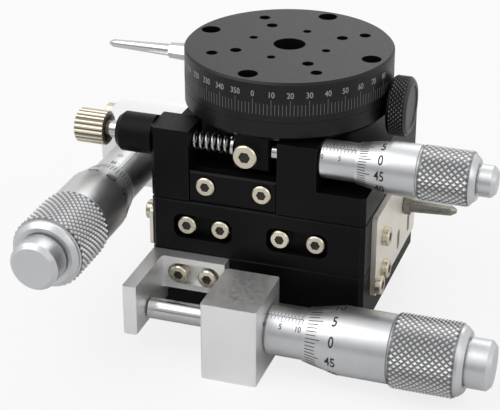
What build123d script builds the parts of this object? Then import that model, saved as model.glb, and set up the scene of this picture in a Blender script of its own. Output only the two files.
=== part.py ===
"""Manual XY and rotation stage, 60 mm table, with three micrometer heads.

Axes: X runs along the front face, the front looks along -Y, +Z is up.
Origin: centre of the base's underside, below the table's axis. Millimetres.
"""

import os

from build123d import *

# ---- the stack, from the bottom up ----
base_thickness = 6.0
under_gap = 0.5  # air between base plate and carriage
carriage_height = 17.5
middle_height = 15.85
slide_seam = 0.3  # air between the two moving layers
deck_height = 14.85  # rotation base, up to its deck
pillar_height = 6.35  # pillars and bearing boss above the deck
turn_seam = 0.15  # air under the tangent ring and under the table
ring_thickness = 5.85
table_thickness = 11.5

# ---- the body ----
body_width = 63.0
body_depth = 60.0
body_chamfer = 1.2
edge_break = 0.5
base_width = 56.0
base_depth = 35.0

# ---- crossed roller ways, the same on X and Y ----
travel = 6.5  # each way
rib_half = 8.0
rail_width = 4.0
rail_height = 5.5
rail_length = 38.0
rail_gap = 0.8
roller_d = 2.0
roller_length = 1.9
roller_play = 0.04
roller_pitch = 4.0
rollers_per_side = 7
cage_thickness = 0.4
cage_height = 4.2
rib_air = 0.6  # above the rib
way_end_air = 1.0  # beyond the rib at full travel
x_way_lift = 5.25  # rail centre above the base plate
y_way_lift = 3.35  # rail centre above the middle body

# ---- return springs in the ribs ----
groove_width = 6.0
groove_depth = 5.4
pin_r = 1.0
pin_hold = 3.0
fixed_pin_x = 16.0
moving_pin_x = -14.0
return_spring_r = 2.1
return_wire = 0.7

# ---- rotary table ----
table_r = 30.0
table_chamfer = 0.6
table_bore_r = 4.6
table_bore_depth = 5.0
aperture_r = 4.0
hub_r = 9.0
pattern_turn = -9.0
inner_pcd = 23.0
middle_pcd = 32.0
outer_pcd = 46.0
rim_pcd = 51.0
m3_tap_r = 1.25
m4_tap_r = 1.65
rim_hole_r = 1.7
rim_sink_r = 2.8
rim_sink_depth = 3.4
tap_depth = 8.0

# ---- tangent ring and bearing ----
ring_chamfer = 1.5
ring_hub_r = 13.0
ring_hub_drop = 9.6
boss_r = 18.0
bearing_fit = 0.05
bearing_floor = 2.0  # metal left over the Y way
retainer_r = 12.0
retainer_thickness = 1.9
retainer_gap = 0.25

# ---- fine rotation drive, along X in front of the table ----
drive_y = -24.5
drive_lift = 1.6  # axis above the deck
recess_left = -20.0
recess_right = 6.0
recess_back = -18.5
recess_drop = 5.5  # floor below the deck
right_pillar_end = 17.3
pillar_back = -18.5
arm_left = -7.6
arm_right = 3.0
arm_front = -27.0
arm_back = -19.5
arm_drop = 4.0  # underside below the deck
arm_screw_x = -3.7
arm_screw_lift = 0.5
sleeve_r = 5.7
sleeve_length = 11.0
preload_r = 2.45
preload_seat = -24.0
preload_neck = 3.4
knob_r = 5.0
knob_length = 9.4
knob_flutes = 20
spring_r = 2.65
spring_wire_r = 0.4
spring_turns = 8
cup_r = 3.2
cup_thickness = 0.8

# ---- fits and small gaps ----
shaft_fit = 0.05
touch = 0.1  # spindle tip to its anvil
seat_gap = 0.05

# ---- locks ----
clamp_knob_r = 8.7
clamp_knob_length = 5.8
clamp_screw_r = 2.0
clamp_tip_gap = 0.3
clamp_knob_gap = 0.6
fine_lock_y = 20.0
fine_lock_reach = 27.0  # from the collar's inner end to the tip of the handle
bracket_left = -37.0
bracket_right = -27.2
bracket_width = 10.0
bracket_height = 14.4
lock_screw_r = 2.0
y_lock_y = 11.0
y_lock_lift = 4.4  # above the carriage
y_lock_reach = 15.5
plate_thickness = 1.5
plate_gap = 0.05
plate_front = -22.0
plate_back = 25.0
plate_drop = 10.0  # below the carriage's top
plate_rise = 15.0
plate_screws = [(-13.3, 5.5), (-13.0, -5.0), (-20.2, -6.6)]  # along Y, from the carriage's top
plate_slots = [(4.7, -4.5), (17.0, -4.5)]
small_front = -29.0
small_back = -13.0
small_drop = 0.5
small_rise = 11.0
small_thickness = 1.0
small_plate_screws = [(25.0, 9.0), (17.0, 9.0)]

# ---- brackets of the linear drives, measured along each way ----
anvil_thickness = 4.0
anvil_flange_length = 23.0
anvil_flange_height = 10.0
anvil_reach = 24.4
anvil_far_end = -31.0
anvil_arm_height = 15.1
anvil_over_axis = 11.4
anvil_pocket = 1.8
block_length = 16.0
block_back_gap = 5.5  # lets the anvil's flange pass behind
block_depth = 21.5
block_top_over_axis = 11.4
block_height = 23.5
y_block_top_over_axis = 10.5
y_block_height = 20.5
lug_height = 8.0
shank_r = 4.4  # of the micrometers' clamped necks
tongue_thickness = 3.0
foot_thickness = 5.7
axis_offset = 14.5  # micrometer axis from the body's face
x_axis_z = 12.1
y_axis_lift = 14.5  # above the carriage
x_block_start = -7.0
y_block_start = -13.0

# ---- levels ----
carriage_bottom = base_thickness + under_gap
carriage_top = carriage_bottom + carriage_height
middle_top = carriage_top + middle_height
stage_bottom = middle_top + slide_seam
deck_z = stage_bottom + deck_height
boss_top = deck_z + pillar_height
ring_bottom = boss_top + turn_seam
ring_top = ring_bottom + ring_thickness
table_bottom = ring_top + turn_seam
table_top = table_bottom + table_thickness
front = -body_depth / 2
left = -body_width / 2
right = body_width / 2
ring_mid = (ring_bottom + ring_top) / 2
drive_z = deck_z + drive_lift
recess_floor = deck_z - recess_drop
y_axis_z = carriage_top + y_axis_lift
y_lock_z = carriage_top + y_lock_lift
plate_z = (carriage_top - plate_drop, carriage_top + plate_rise)
small_z = (carriage_top - small_drop, carriage_top + small_rise)
plate_spots = [(y, carriage_top + z) for y, z in plate_screws]
small_plate_spots = [(y, carriage_top + z) for y, z in small_plate_screws]

# ---- working planes ----
front_face = Plane(origin=(0, front, 0), x_dir=(1, 0, 0), z_dir=(0, -1, 0))
left_face = Plane(origin=(left, 0, 0), x_dir=(0, -1, 0), z_dir=(-1, 0, 0))
right_face = Plane(origin=(right, 0, 0), x_dir=(0, 1, 0), z_dir=(1, 0, 0))
x_way = Plane(origin=(0, 0, base_thickness + x_way_lift), x_dir=(1, 0, 0), z_dir=(0, 0, 1))
y_way = Plane(origin=(0, 0, middle_top + y_way_lift), x_dir=(0, -1, 0), z_dir=(0, 0, 1))
y_spring = Plane(origin=y_way.origin, x_dir=(0, 1, 0), z_dir=(0, 0, 1))  # pulls the other way
drive = Plane(origin=(0, drive_y, drive_z), x_dir=(1, 0, 0), z_dir=(0, 0, 1))
x_head = Plane(origin=(0, front - axis_offset, x_axis_z), x_dir=(1, 0, 0), z_dir=(0, 0, 1))
y_head = Plane(origin=(left - axis_offset, 0, y_axis_z), x_dir=(0, -1, 0), z_dir=(0, 0, 1))

# socket cap screws: thread radius, head radius, head height, socket across corners / 2
m3 = {"thread": 1.5, "head": 2.75, "height": 3.0, "socket": 1.45}
m4 = {"thread": 2.0, "head": 3.5, "height": 4.0, "socket": 1.75}


def keep(piece, name):
    """Label a finished piece and write it."""
    piece.part.label = name
    export_step(piece.part, f"parts/{name}.step")


def brick(frame, x, y, z, mode=Mode.ADD):
    """A box in the current part, between the limits x, y and z of a frame."""
    with Locations(frame):
        with Locations(((x[0] + x[1]) / 2, (y[0] + y[1]) / 2, (z[0] + z[1]) / 2)):
            Box(x[1] - x[0], y[1] - y[0], z[1] - z[0], mode=mode)


def rods(plane, spots, radius, depth, mode=Mode.SUBTRACT):
    """Round holes, or pins with Mode.ADD, from a plane inwards."""
    with Locations(plane):
        with Locations(*spots):
            Cylinder(radius, depth, align=(Align.CENTER, Align.CENTER, Align.MAX), mode=mode)


def turned(plane, *outline):
    """A solid of revolution about the plane's x axis, from (along, radius) points."""
    with BuildPart() as piece:
        with BuildSketch(plane):
            with BuildLine():
                Polyline(*outline, close=True)
            make_face()
        revolve(axis=Axis(plane.origin, plane.x_dir))
    return piece


def cap_screws(plane, spots, size, shank):
    """Socket cap screws whose heads stand on a plane, as one group."""
    with BuildPart() as screws:
        rods(plane.offset(size["height"]), spots, size["head"], size["height"], Mode.ADD)
        rims = screws.edges().filter_by(GeomType.CIRCLE)
        chamfer(rims.sort_by(Axis(plane.origin, plane.z_dir))[-len(spots) :], 0.3)
        rods(plane, spots, size["thread"], shank, Mode.ADD)
        with BuildSketch(plane.offset(size["height"])):
            with Locations(*spots):
                RegularPolygon(size["socket"], 6)
        extrude(amount=-size["height"] * 0.6, mode=Mode.SUBTRACT)
    return screws


def across(way):
    """The section plane of a way: x across it, y up, z along the travel."""
    return Plane(origin=way.origin, x_dir=way.y_dir, z_dir=way.x_dir)


# ---- ways: sizes that the rails, cages, ribs and pockets share ----
roller_square = (roller_d + roller_play) * 2**0.5 / 2  # half the tunnel's diagonal
v_depth = roller_square - rail_gap / 2
rail_inner = rib_half
rail_outer = rail_inner + rail_width
gap_middle = rail_outer + rail_gap / 2
pocket_half = rail_outer + rail_gap + rail_width
rib_top = rail_height / 2 + 0.3
way_ceiling = rib_top + rib_air
pocket_length = rail_length + 2 * (travel + way_end_air)


def rail_pair(way, moving):
    """Two V-grooved rails, on the rib or on the carriage."""
    side = 1 if moving else -1
    back = pocket_half if moving else rail_inner
    face = gap_middle + side * rail_gap / 2
    half = rail_height / 2
    with BuildPart() as rails:
        with BuildSketch(across(way).offset(-rail_length / 2)):
            with BuildLine():
                Polyline(
                    (back, -half),
                    (face, -half),
                    (face, -v_depth),
                    (face + side * v_depth, 0),
                    (face, v_depth),
                    (face, half),
                    (back, half),
                    close=True,
                )
            make_face()
            mirror(about=Plane.YZ)
        extrude(amount=rail_length)
    return rails


def roller_spots():
    """Places of one side's rollers along the way, with their lean."""
    first = -(rollers_per_side - 1) / 2 * roller_pitch
    return [(first + n * roller_pitch, 1 if n % 2 else -1) for n in range(rollers_per_side)]


def cage_pair(way):
    """The two strips that hold the rollers."""
    length = rollers_per_side * roller_pitch + 2
    with BuildPart() as cages:
        for side in (-1, 1):
            y = (side * gap_middle - cage_thickness / 2, side * gap_middle + cage_thickness / 2)
            brick(way, (-length / 2, length / 2), y, (-cage_height / 2, cage_height / 2))
            for along, _ in roller_spots():
                window = (along - roller_d / 2 - 0.08, along + roller_d / 2 + 0.08)
                brick(way, window, (y[0] - 1, y[1] + 1), (-1.45, 1.45), Mode.SUBTRACT)
    return cages


def roller_set(way):
    """Crossed rollers of both sides, each leaning the other way from its neighbour."""
    with BuildPart() as rollers:
        for side in (-1, 1):
            for along, lean in roller_spots():
                middle = way.from_local_coords((along, side * gap_middle, 0))
                axis = way.y_dir * lean + way.z_dir
                with BuildSketch(Plane(origin=middle, x_dir=way.x_dir, z_dir=axis)):
                    Circle(roller_d / 2)
                extrude(amount=roller_length / 2, both=True)
    return rollers


def return_pin(way, along, low, high):
    """One of the two pins that a return spring hooks over."""
    with BuildPart() as pin:
        rods(way.offset(high), [(along, 0)], pin_r, high - low, Mode.ADD)
    return pin


def return_spring(way):
    """Close-wound extension spring, drawn as its outer tube with a loop at each end."""
    eye = pin_r + shaft_fit
    loop = eye + return_wire
    start = moving_pin_x + loop - 0.3
    end = fixed_pin_x - loop + 0.3
    with BuildPart() as spring:
        with BuildSketch(across(way).offset(start)):
            Circle(return_spring_r)
            Circle(return_spring_r - return_wire, mode=Mode.SUBTRACT)
        extrude(amount=end - start)
        for along in (start, end - return_wire):
            with BuildSketch(across(way).offset(along)):
                Circle(return_spring_r)
            extrude(amount=return_wire)
        with BuildSketch(way.offset(-return_wire / 2)):
            with Locations((moving_pin_x, 0), (fixed_pin_x, 0)):
                Circle(loop)
                Circle(eye, mode=Mode.SUBTRACT)
        extrude(amount=return_wire)
    return spring


def cut_rib_groove(way):
    """The spring's groove along the top of a rib, and the fixed pin's hole."""
    reach = rail_length / 2 + 1
    half = groove_width / 2
    brick(way, (-reach, reach), (-half, half), (rib_top - groove_depth, rib_top + 1), Mode.SUBTRACT)
    rods(way.offset(rib_top - groove_depth), [(fixed_pin_x, 0)], pin_r + 0.02, pin_hold)


# ---- linear drives: anvil bracket and clamp block, alike on X and Y ----
anvil_face = anvil_far_end + anvil_thickness
flange_screws = 8.7


def anvil_bracket(way, face, axis_z, plane, screw_z, up):
    """Angle bracket that the spindle pushes; up is 1 with the flange above the axis, else -1."""
    far = axis_z - way.origin.Z + up * anvil_over_axis
    flange_z = sorted((far - up * anvil_flange_height, far))
    arm_z = sorted((far - up * anvil_arm_height, far))
    flange = (anvil_far_end, anvil_far_end + anvil_flange_length)
    with BuildPart() as bracket:
        brick(way, flange, (-face - anvil_thickness, -face - seat_gap), flange_z)
        brick(way, (anvil_far_end, anvil_face), (-face - anvil_reach, -face - seat_gap), arm_z)
        corner = way.from_local_coords((anvil_face, -face - anvil_thickness, sum(flange_z) / 2))
        uprights = bracket.edges().filter_by(Axis.Z)
        fillet(uprights.sort_by_distance(corner)[0], 1.0)
        chamfer(bracket.edges().filter_by(Axis.Z).group_by(SortBy.LENGTH)[-1], edge_break)
        spots = flange_spots(screw_z)
        with BuildSketch(plane.offset(anvil_thickness)):
            with Locations(((spots[0][0] + spots[1][0]) / 2, screw_z)):
                SlotOverall(flange_screws + 7.0, 6.4)
        extrude(amount=-anvil_pocket, mode=Mode.SUBTRACT)
        rods(plane.offset(anvil_thickness), spots, m3["thread"] + shaft_fit, anvil_thickness + 1)
    return bracket


def flange_spots(screw_z):
    """The two fastening screws of an anvil's flange, in its face plane."""
    first = anvil_far_end + 9.3
    return [(first, screw_z), (first + flange_screws, screw_z)]


def clamp_block(way, face, axis_z, start, above, height):
    """Block that holds a micrometer by its neck, spaced off the body's face."""
    top = axis_z + above - way.origin.Z
    near = -face - block_back_gap
    head = Plane(
        origin=way.from_local_coords((start, -face - axis_offset, axis_z - way.origin.Z)),
        x_dir=way.y_dir,
        z_dir=way.x_dir,
    )
    with BuildPart() as block:
        brick(way, (start, start + block_length), (near - block_depth, near), (top - height, top))
        chamfer(block.edges().filter_by(Axis.Z), edge_break)
        rods(head.offset(block_length), [(0, 0)], shank_r + seat_gap, block_length)
    return block.part


# ---- micrometer heads: lengths are measured from the spindle's tip ----
large = {
    "spindle": 3.05,
    "barrel": 7.25,
    "thimble": 9.7,
    "knurl": 10.6,
    "cap": 6.95,
    "bevel": 9.0,
    "smooth": 15.5,
    "grip": 20.5,
    "end": 7.0,
    "travel": travel,
    "ball": 12.0,
}
small = {
    "spindle": 2.5,
    "barrel": 5.4,
    "thimble": 7.45,
    "knurl": 7.8,
    "cap": 4.4,
    "bevel": 9.0,
    "smooth": 8.0,
    "grip": 16.0,
    "end": 5.0,
    "travel": 2.2,
    "ball": 8.0,
}
barrel_play = 0.15
wall = 2.6  # thimble's end wall
ball_sag = 0.4


def head_spindle(plane, tip, edge, d):
    """Measuring spindle with a domed tip and a journal for the thimble."""
    last = edge + d["bevel"] + d["smooth"] + d["grip"]
    r = d["spindle"]
    flat = (2 * d["ball"] * ball_sag - ball_sag**2) ** 0.5  # where the dome meets the shaft
    dome = r if flat > r else flat
    with BuildPart() as spindle:
        with BuildSketch(plane):
            with BuildLine():
                sag = d["ball"] - (d["ball"] ** 2 - dome**2) ** 0.5
                RadiusArc((tip, 0), (tip + sag, dome), d["ball"])
                Polyline(
                    (tip + sag, dome),
                    (tip + sag + r - dome + 0.3, r),
                    (last - wall - 0.2, r),
                    (last - wall - 0.2, r - 0.8),
                    (last - 0.2, r - 0.8),
                    (last - 0.2, 0),
                    (tip, 0),
                )
            make_face()
        revolve(axis=Axis(plane.origin, plane.x_dir))
    return spindle


def head_barrel(plane, start, shoulder, edge, neck_r, d):
    """Fixed sleeve of the head: neck in its seat, then the graduated barrel."""
    end = edge + d["bevel"] + d["smooth"] + d["grip"] - wall - d["travel"] - 1.5
    bore = d["spindle"] + shaft_fit
    return turned(
        plane,
        (start, bore),
        (start, neck_r),
        (shoulder, neck_r),
        (shoulder, d["barrel"] - 0.8),
        (shoulder + 0.8, d["barrel"]),
        (end, d["barrel"]),
        (end, bore),
    )


def head_thimble(plane, edge, d):
    """Thimble: bevelled scale edge, smooth drum and the larger knurled grip."""
    inner = d["barrel"] + barrel_play
    scale_end = edge + d["bevel"]
    grip_start = scale_end + d["smooth"]
    last = grip_start + d["grip"]
    return turned(
        plane,
        (edge, inner),
        (edge, inner + 0.35),
        (scale_end, d["thimble"]),
        (grip_start, d["thimble"]),
        (grip_start, d["knurl"] - 0.3),
        (grip_start + 0.3, d["knurl"]),
        (last - 1.4, d["knurl"]),
        (last, d["knurl"] - 1.4),
        (last, d["spindle"] - 0.8 + shaft_fit),
        (last - wall, d["spindle"] - 0.8 + shaft_fit),
        (last - wall, inner),
    )


def head_cap(plane, edge, d):
    """End cap of the head, with a chamfered rim."""
    start = edge + d["bevel"] + d["smooth"] + d["grip"] + seat_gap
    end = start + d["end"]
    return turned(
        plane,
        (start, 0),
        (start, d["cap"] - 0.7),
        (start + 0.6, d["cap"] - 0.7),
        (start + 0.6, d["cap"]),
        (end - 1.2, d["cap"]),
        (end, d["cap"] - 1.2),
        (end, 0),
    )


os.makedirs("parts", exist_ok=True)

# ================= fixed base =================
x_pocket_top = x_way.origin.Z + way_ceiling
base_spots = [(x, y) for x in (-24, 24) for y in (-12.5, 12.5)]
tongue_x = (x_block_start, x_block_start + block_length)
tongue_back = -3.0
tongue_screws = [(x_block_start + x, -12.5) for x in (4, 12)]

with BuildPart() as base_plate:
    with BuildSketch():
        Rectangle(base_width, base_depth)
    extrude(amount=base_thickness)
    chamfer(base_plate.edges().filter_by(Axis.Z), body_chamfer)
    reach = rail_length / 2
    low = base_thickness - x_way.origin.Z
    brick(x_way, (-reach, reach), (-rib_half, rib_half), (low, rib_top))
    cut_rib_groove(x_way)
    rods(Plane.XY.offset(base_thickness), base_spots, m4_tap_r, base_thickness)
    brick(Plane.XY, tongue_x, (-base_depth, tongue_back), (0, tongue_thickness), Mode.SUBTRACT)
    rods(Plane.XY.offset(base_thickness), tongue_screws, m3_tap_r, base_thickness)
keep(base_plate, "base_plate")

keep(rail_pair(x_way, False), "x_fixed_rails")
keep(rail_pair(x_way, True), "x_moving_rails")
keep(cage_pair(x_way), "x_cages")
keep(roller_set(x_way), "x_rollers")
groove_floor = rib_top - groove_depth
keep(return_pin(x_way, fixed_pin_x, groove_floor - pin_hold, 1.2), "x_fixed_pin")
keep(return_pin(x_way, moving_pin_x, -1.2, way_ceiling + pin_hold), "x_moving_pin")
keep(return_spring(x_way), "x_return_spring")

with BuildPart() as x_clamp_block:
    add(clamp_block(x_way, body_depth / 2, x_axis_z, x_block_start, block_top_over_axis, block_height))
    foot_y = (front - block_back_gap - 1, -base_depth / 2 - seat_gap)
    brick(Plane.XY, tongue_x, foot_y, (0, foot_thickness))
    brick(Plane.XY, tongue_x, (foot_y[0], tongue_back), (0, tongue_thickness))
    rods(Plane.XY.offset(tongue_thickness), tongue_screws, m3["thread"] + 0.1, tongue_thickness)
    with BuildSketch():
        with Locations(*tongue_screws):
            Circle(3.0)
    extrude(amount=1.5, taper=45, mode=Mode.SUBTRACT)
keep(x_clamp_block, "x_clamp_block")

with BuildPart() as x_block_screws:
    with BuildSketch():
        with Locations(*tongue_screws):
            Circle(2.8)
    extrude(amount=1.6, taper=45)
    rods(Plane.XY.offset(base_thickness - 0.6), tongue_screws, m3_tap_r, base_thickness - 0.6, Mode.ADD)
    with BuildSketch():
        with Locations(*tongue_screws):
            RegularPolygon(1.15, 6)
    extrude(amount=1.2, mode=Mode.SUBTRACT)
keep(x_block_screws, "x_block_screws")

# ================= X stage: carriage and middle body =================
x_flange_z = x_axis_z + anvil_over_axis - anvil_flange_height / 2
stack_spots = [(x, y) for x in (-27.0, 27.0) for y in (-25.5, 25.5)]
stack_seat = carriage_bottom + 8
with BuildPart() as x_carriage:
    with BuildSketch(Plane.XY.offset(carriage_bottom)):
        Rectangle(body_width, body_depth)
    extrude(amount=carriage_height)
    chamfer(x_carriage.edges().filter_by(Axis.Z), body_chamfer)
    with BuildSketch(Plane.XY.offset(carriage_bottom)):
        Rectangle(pocket_length, 2 * pocket_half)
    extrude(amount=x_pocket_top - carriage_bottom, mode=Mode.SUBTRACT)
    rods(x_way.offset(way_ceiling + pin_hold), [(moving_pin_x, 0)], pin_r + 0.02, pin_hold)
    rods(front_face, flange_spots(x_flange_z), m3_tap_r, 8)
    rods(right_face, plate_spots[1:], m3_tap_r, 7)
    chamfer(x_carriage.faces().sort_by(Axis.Z)[-1].edges(), edge_break)
    rods(Plane.XY.offset(carriage_top), stack_spots, m3["thread"] + 0.1, carriage_height)
    rods(Plane.XY.offset(stack_seat), stack_spots, m3["head"] + 0.2, stack_seat - carriage_bottom)
keep(x_carriage, "x_carriage")

pair_z = carriage_top + 7.8
y_flange_z = y_axis_z - anvil_over_axis + anvil_flange_height / 2
pair_spots = [(x, pair_z) for x in (-21.0, -10.9, 6.8, 17.3)]
pair_depth = 3.4
with BuildPart() as middle_body:
    with BuildSketch(Plane.XY.offset(carriage_top)):
        Rectangle(body_width, body_depth)
    extrude(amount=middle_height)
    chamfer(middle_body.edges().filter_by(Axis.Z), body_chamfer)
    chamfer(middle_body.faces().sort_by(Axis.Z)[-1].edges(), edge_break)
    low = middle_top - y_way.origin.Z
    brick(y_way, (-reach, reach), (-rib_half, rib_half), (low, rib_top))
    cut_rib_groove(y_spring)
    with BuildSketch(front_face):
        for a, b in (pair_spots[:2], pair_spots[2:]):
            with Locations(((a[0] + b[0]) / 2, pair_z)):
                RectangleRounded(b[0] - a[0] + 7.6, 7.6, 2.6)
    extrude(amount=-pair_depth, mode=Mode.SUBTRACT)
    rods(front_face.offset(-pair_depth), pair_spots, m3_tap_r, 7)
    rods(right_face, [(y_lock_y, y_lock_z)], lock_screw_r + shaft_fit, 12)
    rods(right_face, plate_spots[:1], m3_tap_r, 7)
    rods(left_face, small_plate_spots, m3_tap_r, 6)
    rods(left_face, flange_spots(y_flange_z), m3_tap_r, 8)
    rods(Plane.XY.offset(carriage_top + 6.5), stack_spots, m3_tap_r, 6.5)
keep(middle_body, "middle_body")

under_seat = Plane(origin=(0, 0, stack_seat - seat_gap), x_dir=(1, 0, 0), z_dir=(0, 0, -1))
stack_screws = cap_screws(under_seat, stack_spots, {**m3, "thread": 1.2}, 15)
keep(stack_screws, "stack_screws")

pair_seat = front_face.offset(-pair_depth + seat_gap)
keep(cap_screws(pair_seat, pair_spots, {**m3, "thread": 1.2}, 6), "pair_screws")

x_anvil = anvil_bracket(x_way, body_depth / 2, x_axis_z, front_face, x_flange_z, 1)
keep(x_anvil, "x_anvil")
flange_seat = front_face.offset(anvil_thickness - anvil_pocket + seat_gap)
keep(cap_screws(flange_seat, flange_spots(x_flange_z), {**m3, "thread": 1.2}, 8), "x_anvil_screws")

# ================= Y stage guides and drive =================
keep(rail_pair(y_way, False), "y_fixed_rails")
keep(rail_pair(y_way, True), "y_moving_rails")
keep(cage_pair(y_way), "y_cages")
keep(roller_set(y_way), "y_rollers")
keep(return_pin(y_spring, fixed_pin_x, groove_floor - pin_hold, 1.2), "y_fixed_pin")
y_pin_hold = 1.6
keep(return_pin(y_spring, moving_pin_x, -1.2, way_ceiling + y_pin_hold), "y_moving_pin")
keep(return_spring(y_spring), "y_return_spring")

y_block_top = y_axis_z + y_block_top_over_axis
y_block_spots = [(y_block_start + x, y_block_top - 3.2) for x in (3, 13)]
with BuildPart() as y_clamp_block:
    add(clamp_block(y_way, body_width / 2, y_axis_z, y_block_start, y_block_top_over_axis, y_block_height))
    lug_z = (y_block_top - lug_height - y_way.origin.Z, y_block_top - y_way.origin.Z)
    lug_y = (-body_width / 2 - block_back_gap - 1, -body_width / 2 - seat_gap)
    lug_x = (y_block_start, y_block_start + block_length)
    brick(y_way, lug_x, lug_y, lug_z)
    rods(left_face.offset(40), y_block_spots, m3["thread"] + 0.1, 41)
keep(y_clamp_block, "y_clamp_block")
block_seat = left_face.offset(block_back_gap + block_depth + seat_gap)
y_block_screws = cap_screws(block_seat, y_block_spots, {**m3, "thread": 1.2}, block_depth + 12)
keep(y_block_screws, "y_block_screws")

# ================= rotation base =================
y_pocket_top = y_way.origin.Z + way_ceiling
bearing_bottom = y_pocket_top + bearing_floor
panel_thickness = 3.4
small_neck_r = small["barrel"] - 1.9
panel_top = recess_floor
panel_spots = [(x, stage_bottom + 5.35) for x in (-14.8, 1.8)]
notch_back = drive_y + small["knurl"] + 0.6
notch_floor = drive_z - small["knurl"] - 0.4

with BuildPart() as rotation_base:
    with BuildSketch(Plane.XY.offset(stage_bottom)):
        Rectangle(body_width, body_depth)
    extrude(amount=deck_height)
    # the two front pillars carry the fine drive
    for x0, x1 in ((left, recess_left), (recess_right, right_pillar_end)):
        brick(Plane.XY, (x0, x1), (front, pillar_back), (deck_z, boss_top))
    with BuildSketch(Plane.XY.offset(deck_z)):
        Circle(boss_r)
    extrude(amount=boss_top - deck_z)
    corners = rotation_base.edges().filter_by(Axis.Z).filter_by_position(Axis.X, right - 1, right + 1)
    chamfer(corners, body_chamfer)
    corners = rotation_base.edges().filter_by(Axis.Z).filter_by_position(Axis.X, left - 1, left + 1)
    chamfer(corners.group_by(Axis.Y)[0] + corners.group_by(Axis.Y)[-1], body_chamfer)
    # recess between the pillars, set back right of them
    brick(
        Plane.XY,
        (recess_left, recess_right),
        (front - 1, recess_back),
        (recess_floor, deck_z + 1),
        Mode.SUBTRACT,
    )
    brick(
        Plane.XY,
        (right_pillar_end, right + 1),
        (front - 1, notch_back),
        (notch_floor, deck_z + 1),
        Mode.SUBTRACT,
    )
    # pocket for the Y way, closed at both ends
    with BuildSketch(Plane.XY.offset(stage_bottom)):
        Rectangle(2 * pocket_half, pocket_length)
    extrude(amount=y_pocket_top - stage_bottom, mode=Mode.SUBTRACT)
    rods(y_spring.offset(way_ceiling + y_pin_hold), [(moving_pin_x, 0)], pin_r + 0.02, y_pin_hold)
    # bearing bore for the tangent ring's hub
    rods(Plane.XY.offset(boss_top), [(0, 0)], ring_hub_r + bearing_fit, boss_top - bearing_bottom)
    # front panel seat, spring bore, micrometer bore
    brick(
        Plane.XY,
        (recess_left, recess_right),
        (front - 1, front + panel_thickness),
        (stage_bottom - 1, recess_floor),
        Mode.SUBTRACT,
    )
    rods(front_face.offset(-panel_thickness), panel_spots, m3_tap_r, 3.5)
    section = across(drive)
    rods(section.offset(recess_left), [(0, 0)], cup_r - 0.1, recess_left - left)
    rods(section.offset(right_pillar_end), [(0, 0)], small_neck_r + seat_gap, 12)
    rods(left_face, y_block_spots, m3_tap_r, 7)
keep(rotation_base, "rotation_base")

with BuildPart() as front_panel:
    brick(
        Plane.XY,
        (recess_left + seat_gap, recess_right - seat_gap),
        (front, front + panel_thickness - seat_gap),
        (stage_bottom, panel_top),
    )
    chamfer(front_panel.faces().sort_by(Axis.Y)[0].edges(), edge_break)
    rods(front_face, panel_spots, m3["thread"] + 0.1, panel_thickness + 1)
    rods(front_face, panel_spots, m3["head"] + 0.25, 2.0)
keep(front_panel, "front_panel")
panel_seat = front_face.offset(-2.0 + seat_gap)
keep(cap_screws(panel_seat, panel_spots, {**m3, "thread": 1.2}, 4.6), "panel_screws")

y_anvil = anvil_bracket(y_way, body_width / 2, y_axis_z, left_face, y_flange_z, -1)
keep(y_anvil, "y_anvil")
flange_seat = left_face.offset(anvil_thickness - anvil_pocket + seat_gap)
keep(cap_screws(flange_seat, flange_spots(y_flange_z), {**m3, "thread": 1.2}, 8), "y_anvil_screws")

# ================= tangent ring, arm and bearing =================
with BuildPart() as tangent_ring:
    with BuildSketch(Plane.XY.offset(ring_bottom)):
        Circle(table_r)
    extrude(amount=ring_thickness)
    rim = tangent_ring.edges().filter_by(GeomType.CIRCLE).sort_by(Axis.Z)
    chamfer(rim[0], ring_chamfer)
    with BuildSketch(Plane.XY.offset(ring_bottom)):
        Circle(ring_hub_r)
    extrude(amount=-ring_hub_drop)
    rods(Plane.XY.offset(ring_top), [(0, 0)], hub_r + bearing_fit, 20)
    clamp_axis = Plane(origin=(0, 0, ring_mid), x_dir=(0, 1, 0), z_dir=(1, 0, 0))
    rods(clamp_axis.offset(table_r + 1), [(0, 0)], clamp_screw_r + shaft_fit, table_r)
keep(tangent_ring, "tangent_ring")

arm_plane = Plane(origin=(0, arm_front, 0), x_dir=(1, 0, 0), z_dir=(0, -1, 0))
arm_spot = [(arm_screw_x, deck_z + arm_screw_lift)]
with BuildPart() as tangent_arm:
    brick(Plane.XY, (arm_left, arm_right), (arm_front, arm_back), (deck_z - arm_drop, ring_bottom))
    chamfer(tangent_arm.faces().sort_by(Axis.Y)[0].edges(), edge_break)
    rods(arm_plane, arm_spot, m4["head"] + 0.1, 1.0)
    rods(arm_plane, arm_spot, m4["thread"] + shaft_fit, 9)
keep(tangent_arm, "tangent_arm")
arm_head = {**m4, "height": 3.2}
keep(cap_screws(arm_plane.offset(-1.0 + seat_gap), arm_spot, arm_head, 6), "arm_screw")

spring_cup = turned(
    drive,
    (arm_left - seat_gap, 0),
    (arm_left - seat_gap, cup_r),
    (arm_left - cup_thickness, cup_r),
    (arm_left - cup_thickness, 0),
)
keep(spring_cup, "spring_cup")

# ================= preload spring and its adjusting screw =================
spring_start = preload_seat + spring_wire_r + seat_gap
spring_end = arm_left - cup_thickness - spring_wire_r - seat_gap
spring_length = spring_end - spring_start
coil_start = (spring_start, drive_y, drive_z)
coil_pitch = spring_length / spring_turns
with BuildPart() as arm_spring:
    with BuildLine() as coil:
        Helix(coil_pitch, spring_length, spring_r - spring_wire_r, coil_start, direction=(1, 0, 0))
    with BuildSketch(Plane(origin=coil.line @ 0, z_dir=coil.line % 0)):
        Circle(spring_wire_r)
    sweep(path=coil.line, is_frenet=True)
keep(arm_spring, "arm_spring")

sleeve_left = left - sleeve_length
sleeve = turned(
    drive,
    (left - seat_gap, preload_r + shaft_fit),
    (left - seat_gap, sleeve_r),
    (sleeve_left + 1.5, sleeve_r),
    (sleeve_left, sleeve_r - 1.2),
    (sleeve_left, preload_r + shaft_fit),
)
keep(sleeve, "preload_sleeve")

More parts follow.
